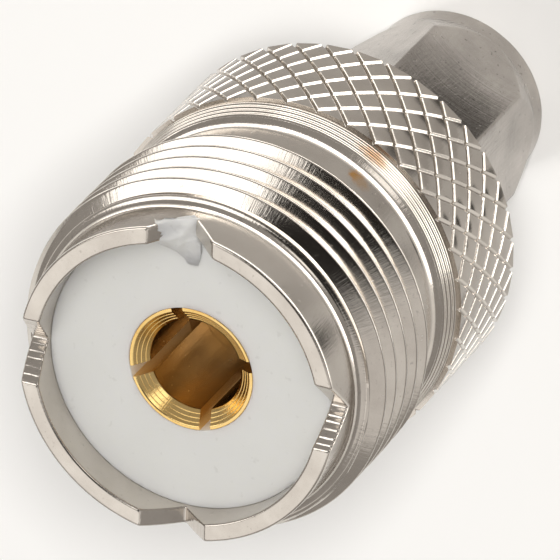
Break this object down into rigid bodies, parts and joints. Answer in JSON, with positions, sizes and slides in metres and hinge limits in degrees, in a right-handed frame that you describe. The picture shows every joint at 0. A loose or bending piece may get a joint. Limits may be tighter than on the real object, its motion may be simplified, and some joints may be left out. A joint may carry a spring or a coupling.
{
  "type": "coax adapter",
  "caption": "Nickel-plated coaxial adapter: a large threaded socket with a notched lip, white insulator and slotted gold contact, a knurled grip, and a small plug with a hexagonal coupling nut.",
  "frame": {"origin": "centre of the coupling nut's mouth, on the surface that the adapter stands on", "axes": "+Z along the adapter's axis, from the plug's mouth up to the socket; +X through one notch of the socket's lip"},
  "size_m": [0.0158, 0.0158, 0.0288],
  "materials": {
    "nickel_plate": "bright nickel plate on turned brass",
    "gold_plate": "bright gold plate on turned brass",
    "white_plastic": "satin moulded plastic",
    "plug_dielectric": "satin turned plastic",
    "spring_wire": "bright wire",
    "gasket_rubber": "matt silicone rubber"
  },
  "bodies": {
    "adapter": {"socket_shell": "nickel_plate", "socket_insulator": "white_plastic", "socket_contact": "gold_plate", "plug_body": "nickel_plate", "plug_insulator": "plug_dielectric", "plug_pin": "gold_plate", "retaining_ring": "spring_wire", "gasket": "gasket_rubber"},
    "nut": {"coupling_nut": "nickel_plate"}
  },
  "joints": [
    {"name": "nut_turn", "type": "hinge", "parent": "adapter", "child": "nut", "pos_m": [0, 0, 0.0042], "axis": [0, 0, 1], "continuous": true}
  ]
}
